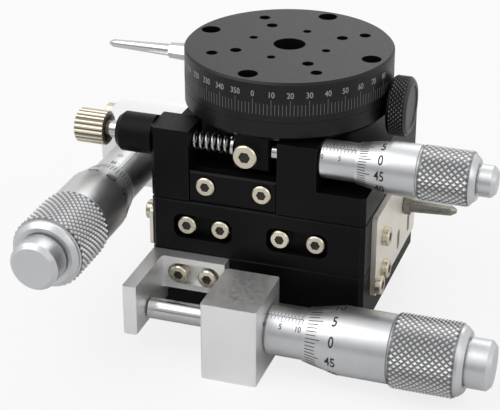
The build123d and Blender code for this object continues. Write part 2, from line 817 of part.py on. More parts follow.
knob_right = sleeve_left - preload_neck
knob_cap = knob_right - knob_length + 2
preload_rod = turned(
    drive,
    (preload_seat, 0),
    (preload_seat, preload_r),
    (knob_right, preload_r),
    (knob_right, preload_r - 0.8),
    (knob_cap + seat_gap, preload_r - 0.8),
    (knob_cap + seat_gap, 0),
)
keep(preload_rod, "preload_rod")

with BuildPart() as preload_knob:
    with BuildSketch(across(drive).offset(knob_right)):
        Circle(knob_r)
        with PolarLocations(knob_r + 0.15, knob_flutes):
            Circle(0.55, mode=Mode.SUBTRACT)
        Circle(preload_r - 0.8 + shaft_fit, mode=Mode.SUBTRACT)
    extrude(amount=knob_cap - knob_right)
    with BuildSketch(across(drive).offset(knob_cap)):
        Circle(knob_r - 0.35)
    extrude(amount=-2)
keep(preload_knob, "preload_knob")

# ================= rotary table =================
hub_bottom = ring_bottom - ring_hub_drop - retainer_gap
retainer_z = hub_bottom - seat_gap
retainer_screw_r = 6.4
hub_tap_r = 0.8
with BuildPart() as rotary_table:
    with BuildSketch(Plane.XY.offset(table_bottom)):
        Circle(table_r)
    extrude(amount=table_thickness)
    rims = rotary_table.edges().filter_by(GeomType.CIRCLE)
    chamfer(rims.sort_by(Axis.Z)[-1], table_chamfer)
    with BuildSketch(Plane.XY.offset(table_bottom)):
        Circle(hub_r)
    extrude(amount=hub_bottom - table_bottom)
    with Locations(Plane.XY.offset(table_top)):
        CounterBoreHole(aperture_r, table_bore_r, table_bore_depth)
    top = Plane.XY.offset(table_top)
    for pcd, turn, hole_r, depth in (
        (inner_pcd, pattern_turn, m3_tap_r, tap_depth),
        (middle_pcd, pattern_turn + 45, m4_tap_r, tap_depth),
        (outer_pcd, pattern_turn + 45, m4_tap_r, tap_depth),
        (rim_pcd, pattern_turn, rim_hole_r, table_thickness),
        (rim_pcd, pattern_turn, rim_sink_r, rim_sink_depth),
    ):
        with BuildSketch(top):
            with PolarLocations(pcd / 2, 4, start_angle=turn):
                Circle(hole_r)
        extrude(amount=-depth, mode=Mode.SUBTRACT)
    with BuildSketch(Plane.XY.offset(hub_bottom)):
        with PolarLocations(retainer_screw_r, 3):
            Circle(hub_tap_r)
    extrude(amount=6, mode=Mode.SUBTRACT)
keep(rotary_table, "rotary_table")

with BuildPart() as hub_retainer:
    with BuildSketch(Plane.XY.offset(retainer_z)):
        Circle(retainer_r)
        Circle(aperture_r, mode=Mode.SUBTRACT)
    extrude(amount=-retainer_thickness)
    with BuildSketch(Plane.XY.offset(retainer_z - retainer_thickness)):
        with PolarLocations(retainer_screw_r, 3):
            Circle(2.0)
    extrude(amount=1.0, taper=45, mode=Mode.SUBTRACT)
    with BuildSketch(Plane.XY.offset(retainer_z)):
        with PolarLocations(retainer_screw_r, 3):
            Circle(hub_tap_r + 0.2)
    extrude(amount=-retainer_thickness, mode=Mode.SUBTRACT)
keep(hub_retainer, "hub_retainer")

with BuildPart() as retainer_screws:
    with BuildSketch(Plane.XY.offset(retainer_z - retainer_thickness)):
        with PolarLocations(retainer_screw_r, 3):
            Circle(1.9)
    extrude(amount=1.0, taper=45)
    with BuildSketch(Plane.XY.offset(retainer_z - retainer_thickness)):
        with PolarLocations(retainer_screw_r, 3):
            Circle(hub_tap_r)
    extrude(amount=retainer_thickness + 5)
keep(retainer_screws, "retainer_screws")

# ================= micrometer heads =================
x_tip = anvil_face + touch
x_edge = 20.0
keep(head_spindle(x_head, x_tip, x_edge, large), "x_spindle")
x_seat = x_block_start
keep(head_barrel(x_head, x_seat, x_seat + block_length + seat_gap, x_edge, shank_r, large), "x_barrel")
keep(head_thimble(x_head, x_edge, large), "x_thimble")
keep(head_cap(x_head, x_edge, large), "x_cap")

y_edge = 26.0
keep(head_spindle(y_head, x_tip, y_edge, large), "y_spindle")
y_seat = y_block_start
keep(head_barrel(y_head, y_seat, y_seat + block_length + seat_gap, y_edge, shank_r, large), "y_barrel")
keep(head_thimble(y_head, y_edge, large), "y_thimble")
keep(head_cap(y_head, y_edge, large), "y_cap")

r_edge = 28.0
r_tip = arm_right + touch
keep(head_spindle(drive, r_tip, r_edge, small), "r_spindle")
keep(head_barrel(drive, recess_right + 0.5, right_pillar_end + seat_gap, r_edge, small_neck_r, small), "r_barrel")
keep(head_thimble(drive, r_edge, small), "r_thimble")
keep(head_cap(drive, r_edge, small), "r_cap")

# ================= locks =================
clamp = Plane(origin=(0, 0, ring_mid), x_dir=(1, 0, 0), z_dir=(0, 0, 1))
clamp_start = table_r + clamp_knob_gap
clamp_end = clamp_start + clamp_knob_length
clamp_screw = turned(
    clamp,
    (hub_r + clamp_tip_gap, 0),
    (hub_r + clamp_tip_gap, clamp_screw_r - 0.5),
    (hub_r + clamp_tip_gap + 0.5, clamp_screw_r),
    (clamp_end - 2, clamp_screw_r),
    (clamp_end - 2, 0),
)
keep(clamp_screw, "clamp_screw")
clamp_knob = turned(
    clamp,
    (clamp_start, clamp_screw_r + seat_gap),
    (clamp_start, clamp_knob_r - 0.5),
    (clamp_start + 0.5, clamp_knob_r),
    (clamp_end - 0.9, clamp_knob_r),
    (clamp_end, clamp_knob_r - 0.9),
    (clamp_end, 0),
    (clamp_end - 2 + seat_gap, 0),
    (clamp_end - 2 + seat_gap, clamp_screw_r + seat_gap),
)
keep(clamp_knob, "clamp_knob")

bracket_y = (fine_lock_y - bracket_width / 2, fine_lock_y + bracket_width / 2)
fine_lock_plane = Plane(origin=(0, fine_lock_y, ring_mid), x_dir=(-1, 0, 0), z_dir=(0, 0, 1))
with BuildPart() as lock_bracket:
    brick(Plane.XY, (bracket_left, bracket_right), bracket_y, (deck_z + seat_gap, deck_z + bracket_height))
    fillet(lock_bracket.edges().filter_by(Axis.X).group_by(Axis.Z)[-1], 4.5)
    rods(across(fine_lock_plane).offset(-bracket_left), [(0, 0)], lock_screw_r + shaft_fit, 12)
keep(lock_bracket, "lock_bracket")


def lock_lever(plane, tip, face, collar, reach, thick, thin):
    """Clamp screw whose tapered handle is its own arm: screw, hex collar, handle."""
    collar_end = face + collar
    shape = turned(
        plane,
        (tip, 0),
        (tip, lock_screw_r - 0.5),
        (tip + 0.5, lock_screw_r),
        (collar_end, lock_screw_r),
        (collar_end, thick),
        (face + reach - thin, thin),
        (face + reach, thin * 0.4),
        (face + reach, 0),
    )
    with BuildPart() as handle:
        add(shape.part)
        with BuildSketch(across(plane).offset(face)):
            RegularPolygon(thick + 0.9, 6)
        extrude(amount=collar, taper=3)
    return handle


fine_tip = 24.6
fine_lever = lock_lever(
    fine_lock_plane, fine_tip, -bracket_left + 0.4, 7.0, fine_lock_reach, 1.9, 1.2
)
keep(fine_lever, "fine_lock_lever")

y_lock_plane = Plane(origin=(0, y_lock_y, y_lock_z), x_dir=(1, 0, 0), z_dir=(0, 0, 1))
plate_out = right + plate_gap + plate_thickness
y_lever = lock_lever(y_lock_plane, right - 10, plate_out + 0.3, 2.0, y_lock_reach, 2.25, 1.6)
keep(y_lever, "y_lock_lever")

with BuildPart() as side_plates:
    with BuildSketch(right_face.offset(plate_gap)):
        with Locations(((plate_front + plate_back) / 2, sum(plate_z) / 2)):
            RectangleRounded(plate_back - plate_front, plate_z[1] - plate_z[0], 1.5)
        with Locations((y_lock_y, y_lock_z)):
            Circle(lock_screw_r + 0.4, mode=Mode.SUBTRACT)
        with Locations(*[(y, carriage_top + z) for y, z in plate_slots]):
            SlotOverall(6.4, 3.0, rotation=90, mode=Mode.SUBTRACT)
        with Locations(*plate_spots):
            Circle(m3["thread"] + 0.1, mode=Mode.SUBTRACT)
    extrude(amount=plate_thickness)
    with BuildSketch(left_face.offset(plate_gap)):
        with Locations((-(small_front + small_back) / 2, sum(small_z) / 2)):
            RectangleRounded(small_back - small_front, small_z[1] - small_z[0], 1.5)
        with Locations(*small_plate_spots):
            Circle(m3["thread"] + 0.1, mode=Mode.SUBTRACT)
    extrude(amount=small_thickness)
keep(side_plates, "side_plates")
plate_seat = right_face.offset(plate_gap + plate_thickness + seat_gap)
small_seat = left_face.offset(plate_gap + small_thickness + seat_gap)
low_head = {**m3, "thread": 1.2, "height": 1.8}
with BuildPart() as side_screws:
    add(cap_screws(plate_seat, plate_spots, low_head, 7).part)
    add(cap_screws(small_seat, small_plate_spots, low_head, 6).part)
keep(side_screws, "side_screws")
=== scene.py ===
import math

import bmesh
import bpy
from mathutils import Matrix, Vector


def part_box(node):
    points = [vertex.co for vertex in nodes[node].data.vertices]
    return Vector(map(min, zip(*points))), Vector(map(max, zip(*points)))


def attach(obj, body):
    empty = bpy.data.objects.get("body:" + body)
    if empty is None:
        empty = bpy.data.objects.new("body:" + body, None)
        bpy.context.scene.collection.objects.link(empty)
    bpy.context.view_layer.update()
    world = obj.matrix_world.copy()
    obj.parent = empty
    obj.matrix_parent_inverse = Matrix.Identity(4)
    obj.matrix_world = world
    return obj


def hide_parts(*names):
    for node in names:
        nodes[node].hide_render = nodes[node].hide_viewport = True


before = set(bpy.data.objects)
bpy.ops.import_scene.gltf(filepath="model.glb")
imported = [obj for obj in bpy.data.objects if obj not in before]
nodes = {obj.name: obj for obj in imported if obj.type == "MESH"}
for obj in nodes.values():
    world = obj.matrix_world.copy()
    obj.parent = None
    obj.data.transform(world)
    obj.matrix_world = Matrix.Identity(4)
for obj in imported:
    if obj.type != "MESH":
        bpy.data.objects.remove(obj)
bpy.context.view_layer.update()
scene = bpy.context.scene
mm = 0.001
up = Vector((0, 0, 1))


# materials

def addNode(tree, kind, **values):
    node = tree.nodes.new(kind)
    for name, value in values.items():
        setattr(node, name, value)
    return node


def newMaterial(name):
    material = bpy.data.materials.new(name)
    material.use_nodes = True
    tree = material.node_tree
    return material, tree, tree.nodes["Principled BSDF"]


def objectNoise(tree, scale, stretch=(1, 1, 1), detail=3.0, roughness=0.55):
    # noise on object coordinates, in steps of 1/scale metres
    coords = addNode(tree, "ShaderNodeTexCoord")
    mapping = addNode(tree, "ShaderNodeMapping")
    mapping.inputs["Scale"].default_value = stretch
    noise = addNode(tree, "ShaderNodeTexNoise")
    noise.inputs["Scale"].default_value = scale
    noise.inputs["Detail"].default_value = detail
    noise.inputs["Roughness"].default_value = roughness
    tree.links.new(coords.outputs["Object"], mapping.inputs["Vector"])
    tree.links.new(mapping.outputs["Vector"], noise.inputs["Vector"])
    return noise.outputs["Fac"]


def rangeOf(tree, value, low, high, fromLow=0.3, fromHigh=0.7):
    node = addNode(tree, "ShaderNodeMapRange")
    node.inputs["From Min"].default_value = fromLow
    node.inputs["From Max"].default_value = fromHigh
    node.inputs["To Min"].default_value = low
    node.inputs["To Max"].default_value = high
    tree.links.new(value, node.inputs["Value"])
    return node.outputs["Result"]


def mixColours(tree, factor, first, second):
    node = addNode(tree, "ShaderNodeMix", data_type="RGBA")
    node.inputs[6].default_value = (*first, 1)  # 6 and 7 are the colours A and B
    node.inputs[7].default_value = (*second, 1)
    tree.links.new(factor, node.inputs[0])
    return node.outputs[2]


def bumpFrom(tree, shader, height, distance, strength=1.0):
    bump = addNode(tree, "ShaderNodeBump")
    bump.inputs["Strength"].default_value = strength
    bump.inputs["Distance"].default_value = distance
    tree.links.new(height, bump.inputs["Height"])
    tree.links.new(bump.outputs["Normal"], shader.inputs["Normal"])
    return bump


def metal(name, colour, shade, roughness, spread=0.06, grain=900, stretch=(1, 1, 1), depth=0.002,
          metallic=1.0):
    # a metal whose colour, roughness and surface all vary a little
    material, tree, shader = newMaterial(name)
    shader.inputs["Metallic"].default_value = metallic
    cloud = objectNoise(tree, 60, detail=4)
    tree.links.new(mixColours(tree, rangeOf(tree, cloud, 0, 1), colour, shade), shader.inputs["Base Color"])
    fine = objectNoise(tree, grain, stretch)
    tree.links.new(rangeOf(tree, fine, roughness - spread, roughness + spread), shader.inputs["Roughness"])
    bumpFrom(tree, shader, fine, depth * mm, 0.5)
    return material


def edgeWear(tree, radius):
    # 0 on flat faces, 1 along the edges, broken up a little
    rounded = addNode(tree, "ShaderNodeBevel", samples=4)
    rounded.inputs["Radius"].default_value = radius
    flat = addNode(tree, "ShaderNodeNewGeometry")
    facing = addNode(tree, "ShaderNodeVectorMath", operation="DOT_PRODUCT")
    tree.links.new(rounded.outputs["Normal"], facing.inputs[0])
    tree.links.new(flat.outputs["True Normal"], facing.inputs[1])
    edge = rangeOf(tree, facing.outputs["Value"], 1, 0, 0.75, 0.97)
    patches = rangeOf(tree, objectNoise(tree, 350, detail=5), 0.25, 1)
    both = addNode(tree, "ShaderNodeMath", operation="MULTIPLY")
    tree.links.new(edge, both.inputs[0])
    tree.links.new(patches, both.inputs[1])
    return both.outputs[0]


def blackAnodised(name, roughness, sheen, turned=False):
    # bead blasted and dyed black, with a faint sheen and rubbed edges
    dye, thinDye, rubbed = (0.0028, 0.0025, 0.0027), (0.0052, 0.0047, 0.0049), (0.055, 0.055, 0.06)
    material, tree, shader = newMaterial(name)
    shader.inputs["Specular IOR Level"].default_value = sheen
    cloud = objectNoise(tree, 45, detail=5)
    colour = mixColours(tree, rangeOf(tree, cloud, 0, 1), dye, thinDye)
    worn = addNode(tree, "ShaderNodeMix", data_type="RGBA")
    worn.inputs[7].default_value = (*rubbed, 1)
    tree.links.new(edgeWear(tree, 0.22 * mm), worn.inputs[0])
    tree.links.new(colour, worn.inputs[6])
    tree.links.new(worn.outputs[2], shader.inputs["Base Color"])
    fine = objectNoise(tree, 2600, detail=2)
    tree.links.new(rangeOf(tree, fine, roughness - 0.05, roughness + 0.06), shader.inputs["Roughness"])
    height = fine
    if turned:
        # tool marks run round the part's axis
        coords = addNode(tree, "ShaderNodeTexCoord")
        wave = addNode(tree, "ShaderNodeTexWave", wave_type="RINGS", rings_direction="Z")
        wave.inputs["Scale"].default_value = 900
        wave.inputs["Distortion"].default_value = 0.6
        tree.links.new(coords.outputs["Object"], wave.inputs["Vector"])
        height = wave.outputs["Fac"]
    bumpFrom(tree, shader, height, 0.0015 * mm, 0.45)
    return material


def paint(name, colour, roughness):
    # filled engraving, and the painted shadow down the screw sockets; slightly uneven
    material, tree, shader = newMaterial(name)
    cloud = objectNoise(tree, 900)
    worn = tuple(0.82 * c + 0.02 for c in colour)
    tree.links.new(mixColours(tree, rangeOf(tree, cloud, 0, 1), colour, worn), shader.inputs["Base Color"])
    shader.inputs["Roughness"].default_value = roughness
    return material


def knurled(name, colour, dark, roughness):
    # the valleys of the diamonds are painted darker, as painted shade in their hollows; the "valley"
    # attribute is 1 at their floor
    material, tree, shader = newMaterial(name)
    shader.inputs["Metallic"].default_value = 1.0
    valley = addNode(tree, "ShaderNodeAttribute", attribute_name="valley")
    shade = rangeOf(tree, valley.outputs["Fac"], 0, 1, 0.15, 0.95)
    tree.links.new(mixColours(tree, shade, colour, dark), shader.inputs["Base Color"])
    fine = objectNoise(tree, 2200)
    tree.links.new(rangeOf(tree, fine, roughness - 0.05, roughness + 0.06), shader.inputs["Roughness"])
    bumpFrom(tree, shader, fine, 0.002 * mm, 0.4)
    return material


bodyBlack = blackAnodised("blackAnodised", 0.42, 0.12)
tableBlack = blackAnodised("blackTurned", 0.38, 0.3, turned=True)
knobBlack = blackAnodised("blackKnob", 0.4, 0.6)
# painted shadow for the dark hexagons down the screw sockets
socketBlack = paint("socketShadow", (0.01, 0.0095, 0.009), 0.6)
silver = metal("silverAluminium", (0.9, 0.9, 0.895), (0.86, 0.86, 0.86), 0.4, grain=700, stretch=(1, 1, 6),
               metallic=0.85)
alongX, alongY = (1, 0.01, 0.01), (0.01, 1, 0.01)  # the turning marks ring these axes
satinX = metal("satinChromeX", (0.64, 0.645, 0.655), (0.58, 0.585, 0.595), 0.37, 0.05, 2600, alongX, 0.0008)
satinY = metal("satinChromeY", (0.64, 0.645, 0.655), (0.58, 0.585, 0.595), 0.37, 0.05, 2600, alongY, 0.0008)
# knurled finishes: the colour of the peaks, then the painted shade of the valleys
grip = knurled("knurledChrome", (0.84, 0.845, 0.855), (0.19, 0.19, 0.195), 0.32)
brassGrip = knurled("flutedBrass", (0.8, 0.74, 0.63), (0.13, 0.105, 0.06), 0.3)
# painted shade: dark brass for the preload knob's inner end face and bore
brassShade = metal("paintedShadeBrass", (0.2, 0.16, 0.09), (0.13, 0.1, 0.055), 0.36, grain=1300)
# the black knob's knurl is painted grey as a painted highlight where its facets catch the light, with painted
# shade in the valleys
knobGrip = knurled("knurledBlack", (0.15, 0.148, 0.148), (0.022, 0.022, 0.022), 0.4)
polished = metal("polishedSteel", (0.6, 0.6, 0.6), (0.52, 0.52, 0.52), 0.18, spread=0.04, grain=1200)
lever = metal("leverSteel", (0.3, 0.295, 0.26), (0.23, 0.225, 0.195), 0.3, grain=1200)
nickel = metal("nickelScrew", (0.72, 0.66, 0.54), (0.62, 0.56, 0.44), 0.28, grain=1500)
brass = metal("paleBrass", (0.68, 0.6, 0.46), (0.57, 0.49, 0.36), 0.3, grain=1300)
wire = metal("springWire", (0.58, 0.58, 0.56), (0.42, 0.42, 0.41), 0.26, grain=1800)
plate = metal("platedSteel", (0.92, 0.88, 0.79), (0.84, 0.8, 0.72), 0.45, grain=600, metallic=0.7)
inkBlack = paint("blackFill", (0.012, 0.012, 0.013), 0.5)
inkWhite = paint("whiteFill", (0.34, 0.34, 0.33), 0.6)
inkGrey = paint("greyFill", (0.15, 0.15, 0.148), 0.6)
print("materials made")


# the finish that each CAD node takes

finishes = {
    "bodyBlack": (bodyBlack, ("base_plate", "x_carriage", "middle_body", "rotation_base", "front_panel",
                              "tangent_arm", "lock_bracket", "hub_retainer", "preload_sleeve")),
    "tableBlack": (tableBlack, ("rotary_table", "tangent_ring")),
    "knobBlack": (knobBlack, ("clamp_knob",)),
    "silver": (silver, ("x_clamp_block", "y_clamp_block", "x_anvil", "y_anvil")),
    "plate": (plate, ("side_plates",)),
    "satinX": (satinX, ("x_barrel", "r_barrel", "x_thimble", "r_thimble", "x_cap", "r_cap")),
    "satinY": (satinY, ("y_barrel", "y_thimble", "y_cap")),
    "polished": (polished, ("x_spindle", "y_spindle", "r_spindle", "x_fixed_rails", "y_fixed_rails",
                            "x_moving_rails", "y_moving_rails", "x_rollers", "y_rollers", "fine_lock_lever",
                            "preload_rod", "clamp_screw", "spring_cup", "x_fixed_pin", "x_moving_pin",
                            "y_fixed_pin", "y_moving_pin")),
    "lever": (lever, ("y_lock_lever",)),
    "nickel": (nickel, ("pair_screws", "stack_screws", "x_anvil_screws", "y_anvil_screws", "side_screws",
                        "panel_screws", "x_block_screws", "y_block_screws", "arm_screw", "retainer_screws")),
    "brass": (brass, ("preload_knob", "x_cages", "y_cages")),
    "wire": (wire, ("arm_spring", "x_return_spring", "y_return_spring")),
}


def makeSmoothing(angle):
    # welds the loose triangles and shades smooth up to an angle
    group = bpy.data.node_groups.new("smoothFaces", "GeometryNodeTree")
    group.interface.new_socket("Geometry", in_out="INPUT", socket_type="NodeSocketGeometry")
    group.interface.new_socket("Geometry", in_out="OUTPUT", socket_type="NodeSocketGeometry")
    start = addNode(group, "NodeGroupInput")
    end = addNode(group, "NodeGroupOutput")
    weld = addNode(group, "GeometryNodeMergeByDistance")
    weld.inputs["Distance"].default_value = 0.0005 * mm
    faces = addNode(group, "GeometryNodeSetShadeSmooth", domain="FACE")
    edges = addNode(group, "GeometryNodeSetShadeSmooth", domain="EDGE")
    edges.inputs["Shade Smooth"].default_value = False
    fold = addNode(group, "GeometryNodeInputMeshEdgeAngle")
    sharp = addNode(group, "FunctionNodeCompare", operation="GREATER_THAN")
    sharp.inputs["B"].default_value = angle
    group.links.new(start.outputs[0], weld.inputs["Geometry"])
    group.links.new(weld.outputs["Geometry"], faces.inputs["Geometry"])
    group.links.new(faces.outputs["Geometry"], edges.inputs["Geometry"])
    group.links.new(fold.outputs["Unsigned Angle"], sharp.inputs["A"])
    group.links.new(sharp.outputs["Result"], edges.inputs["Selection"])
    group.links.new(edges.outputs["Geometry"], end.inputs[0])
    return group


smoothing = makeSmoothing(math.radians(32))
for material, names in finishes.values():
    for name in names:
        piece = nodes[name]
        piece.data.materials.clear()
        piece.data.materials.append(material)
        modifier = piece.modifiers.new("smoothFaces", "NODES")
        modifier.node_group = smoothing
print("finishes set")


# helpers for the new meshes

touching = 0.0001 * mm  # nearer than this is the same place
onRadius = 0.01 * mm  # nearer than this is on the same cylinder


def finishPiece(work, name, body, materials):
    # turns a bmesh into a piece that rides on a body
    data = bpy.data.meshes.new(name)
    work.to_mesh(data)
    work.free()
    piece = bpy.data.objects.new(name, data)
    scene.collection.objects.link(piece)
    for material in materials:
        data.materials.append(material)
    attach(piece, body)
    return piece


def spinOutline(outline, steps):
    # closed outline of (along, radius) points, turned about the local x axis
    work = bmesh.new()
    points = [work.verts.new((x, 0, r)) for x, r in outline]
    for first, second in zip(points, points[1:] + points[:1]):
        work.edges.new((first, second))
    bmesh.ops.spin(work, geom=points + work.edges[:], cent=(0, 0, 0), axis=(1, 0, 0),
                   angle=2 * math.pi, steps=steps, use_merge=True)
    bmesh.ops.remove_doubles(work, verts=work.verts, dist=touching)
    bmesh.ops.recalc_face_normals(work, faces=work.faces)
    return work


def knurlRows(start, end, radius, pitch):
    # even rows along a knurled band
    count = round((end - start) / pitch)
    return [(start + (end - start) * n / count, radius) for n in range(count + 1)]


def creaseFolds(work, angle):
    # smooth shading stops at folds steeper than the angle, in degrees
    for edge in work.edges:
        if edge.is_manifold and edge.calc_face_angle(0) > math.radians(angle):
            edge.smooth = False


def cutKnurl(work, rows, steps, depth):
    # every second crossing sinks, so the faces between them form pyramids
    places = [x for x, _ in rows]
    valley = work.verts.layers.float.new("valley")
    band = []
    for vert in work.verts:
        radius = math.hypot(vert.co.y, vert.co.z)
        inBand = places[0] - touching < vert.co.x < places[-1] + touching
        if abs(radius - rows[0][1]) > onRadius or not inBand:
            continue
        row = min(range(len(places)), key=lambda n: abs(places[n] - vert.co.x))
        column = round(math.atan2(vert.co.y, vert.co.z) / (2 * math.pi) * steps)
        if 0 < row < len(places) - 1:
            band.append(vert)
            if (row + column) % 2:
                continue
        vert.co.yz = vert.co.yz * ((radius - depth) / radius)
        # marks this crossing's valley for the painted shade
        vert[valley] = 1.0
    chosen = set(band)
    faces = [face for face in work.faces if any(v in chosen for v in face.verts)]
    bmesh.ops.triangulate(work, faces=faces, quad_method="SHORT_EDGE")
    for face in work.faces:
        face.smooth = True
    for face in work.faces:
        if any(v in chosen for v in face.verts):
            face.smooth = False
            face.material_index = 1
    creaseFolds(work, 30)


def headPlace(node, outward):
    # matrix from a head's own frame to the part's: x outward from the node's inner end, z up
    low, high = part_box(node)
    inner = [min(low[i] * outward[i], high[i] * outward[i]) * outward[i] for i in range(3)]
    start = Vector([inner[i] if outward[i] else (low[i] + high[i]) / 2 for i in range(3)])
    turn = Matrix((outward, up.cross(outward), up)).transposed()
    return Matrix.Translation(start) @ turn.to_4x4()


def radialAt(angle):
    # zero is the top; a positive angle turns the way a right-hand screw goes outward
    return Vector((0, -math.sin(angle), math.cos(angle)))


# micrometer heads; all sizes in millimetres

inlay = 0.02  # thickness of filled marks

# lengths run outward from the thimble's front edge
# bevelStart, drum, knurl, bore, journal and barrel are radii
bigHead = {"bevelStart": 7.6, "bevel": 9.6, "smooth": 14.9, "grip": 20.5, "drum": 9.68, "knurl": 10.58,
           "bore": 7.4, "journal": 2.3, "wall": 2.6, "steps": 72, "pitch": 0.95, "depth": 0.5, "endBand": 2.2,
           "barrel": 7.25, "tickStart": 1.4, "tick": 3.0, "tickLong": 4.2, "numberAt": 9.0, "number": 4.4,
           "barrelNumber": 2.2}
smallHead = {"bevelStart": 5.75, "bevel": 9.0, "smooth": 8.0, "grip": 16.0, "drum": 7.43, "knurl": 7.78,
             "bore": 5.55, "journal": 1.75, "wall": 2.6, "steps": 52, "pitch": 0.95, "depth": 0.48,
             "endBand": 1.6, "barrel": 5.4, "tickStart": 0.9, "tick": 2.3, "tickLong": 3.6, "numberAt": 7.2,
             "number": 4.0, "barrelNumber": 1.9}
# zero and line are degrees from the top, and shown is the length of barrel scale in view
heads = {
    "x": {"size": bigHead, "finish": satinX, "outward": Vector((1, 0, 0)), "zero": 66, "line": 28,
          "shown": 12.2, "holder": "base"},
    "y": {"size": bigHead, "finish": satinY, "outward": Vector((0, -1, 0)), "zero": 42, "line": -30,
          "shown": 23.0, "holder": "y_stage"},
    "r": {"size": smallHead, "finish": satinX, "outward": Vector((1, 0, 0)), "zero": 53, "line": 28,
          "shown": 10.4, "holder": "y_stage"},
}
# what the lathe leaves on each thimble: groove before the knurl, broken edges, plain tapered end
# each drop is measured inward from the drum or from the knurl's valleys
turning = {"blend": 0.4, "blendDrop": 0.05, "edge": 0.15, "groove": 0.55, "grooveDrop": 0.7, "step": 0.1,
           "stepDrop": 0.35, "taper": 1.4, "taperDrop": 0.4, "rim": 0.25, "rimDrop": 1.4, "faceDrop": 1.7}
lettering = {"offset": 0.012, "longEdge": 0.3}  # shares of the numerals' size
thimbleScale = {"divisions": 50, "numberEvery": 5, "width": 0.22, "narrow": 0.74}
barrelScale = {"hidden": 8.0, "line": 0.14, "first": 1.0, "step": 0.5, "numberEvery": 10, "long": 1.8,
               "short": 1.2, "halfWidth": 0.06, "chords": 4, "numberAt": 3.1, "narrow": 0.85}


def makeThimble(name, size, finish, place):
    drum, endBand = size["drum"], size["endBand"]
    bevelEnd = size["bevel"]
    gripStart = bevelEnd + size["smooth"]
    gripEnd = gripStart + size["grip"]
    groove, grooveRadius = turning["groove"], drum - turning["grooveDrop"]
    rows = knurlRows((gripStart + groove) * mm, (gripEnd - endBand) * mm, size["knurl"] * mm,
                     size["pitch"] * mm)
    front = [(0, size["bore"]), (0, size["bevelStart"]), (bevelEnd, drum - turning["blendDrop"]),
             (bevelEnd + turning["blend"], drum), (gripStart - turning["edge"], drum),
             (gripStart, drum - turning["edge"]), (gripStart, grooveRadius),
             (gripStart + groove, grooveRadius)]
    valley = size["knurl"] - size["depth"]
    tail = [(gripEnd - endBand + turning["step"], valley - turning["stepDrop"]),
            (gripEnd - turning["taper"], valley - turning["taperDrop"]),
            (gripEnd - turning["rim"], valley - turning["rimDrop"]),
            (gripEnd, valley - turning["faceDrop"]), (gripEnd, size["journal"]),
            (gripEnd - size["wall"], size["journal"]), (gripEnd - size["wall"], size["bore"])]
    outline = [(x * mm, r * mm) for x, r in front] + rows + [(x * mm, r * mm) for x, r in tail]
    work = spinOutline(outline, size["steps"])
    cutKnurl(work, rows, size["steps"], size["depth"] * mm)
    work.transform(place)
    bmesh.ops.recalc_face_normals(work, faces=work.faces)
    piece = finishPiece(work, name + "_thimble_knurled", name + "_thimble_body",
                        [finish, grip])
    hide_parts(name + "_thimble")


def addMark(work, place, along, radius, width, angle, slope=0.0):
    # a thin inlay on a cylinder or cone, from along[0] to along[1], in metres
    radial = radialAt(angle)
    around = Vector((0, -math.cos(angle), -math.sin(angle)))
    direction = Vector((1, 0, 0)) + radial * slope
    normal = (radial - Vector((1, 0, 0)) * slope).normalized()
    centre = Vector(((along[0] + along[1]) / 2, 0, 0)) + radial * radius
    shape = Matrix((direction * (along[1] - along[0]), around * width, normal * inlay * mm))
    bmesh.ops.create_cube(work, size=1,
                          matrix=place @ Matrix.Translation(centre) @ shape.transposed().to_4x4())


def addText(work, text, size, narrow, bend):
    # flat text as a mesh, each corner sent through bend(x, y)
    curve = bpy.data.curves.new("numeral", "FONT")
    curve.body = text
    curve.size = size
    curve.align_x = "CENTER"
    curve.align_y = "CENTER"
    curve.offset = size * lettering["offset"]
    holder = bpy.data.objects.new("numeral", curve)
    flat = bpy.data.meshes.new_from_object(holder)
    bpy.data.objects.remove(holder)
    letters = bmesh.new()
    letters.from_mesh(flat)
    bmesh.ops.triangulate(letters, faces=letters.faces)
    longest = [e for e in letters.edges if e.calc_length() > size * lettering["longEdge"]]
    bmesh.ops.subdivide_edges(letters, edges=longest, cuts=1)
    for vert in letters.verts:
        vert.co = bend(vert.co.x * narrow, vert.co.y)
    letters.to_mesh(flat)
    letters.free()
    work.from_mesh(flat)
    bpy.data.meshes.remove(flat)
    bpy.data.curves.remove(curve)


def makeThimbleMarks(name, head, place):
    # divisions round the bevel, with a number at every fifth
    size = head["size"]
    turn = 360 / thimbleScale["divisions"]
    slope = (size["drum"] - size["bevelStart"]) / size["bevel"]
    work = bmesh.new()
    for n in range(thimbleScale["divisions"]):
        numbered = n % thimbleScale["numberEvery"] == 0
        angle = math.radians(head["zero"] - n * turn)
        start = size["tickStart"]
        end = start + (size["tickLong"] if numbered else size["tick"])
        radius = size["bevelStart"] + slope * (start + end) / 2 + inlay / 2
        addMark(work, place, (start * mm, end * mm), radius * mm, thimbleScale["width"] * mm, angle, slope)
        if numbered:
            textRadius = size["bevelStart"] + slope * size["numberAt"] + inlay

            def bend(x, y):
                along = size["numberAt"] * mm + x
                around = angle - y / (textRadius * mm)
                lift = min(slope * x, (size["drum"] - textRadius + inlay) * mm)
                return place @ (Vector((along, 0, 0)) + radialAt(around) * (textRadius * mm + lift))

            addText(work, str(n), size["number"] * mm, thimbleScale["narrow"], bend)
    finishPiece(work, name + "_thimble_scale", name + "_thimble_body", [inkBlack])


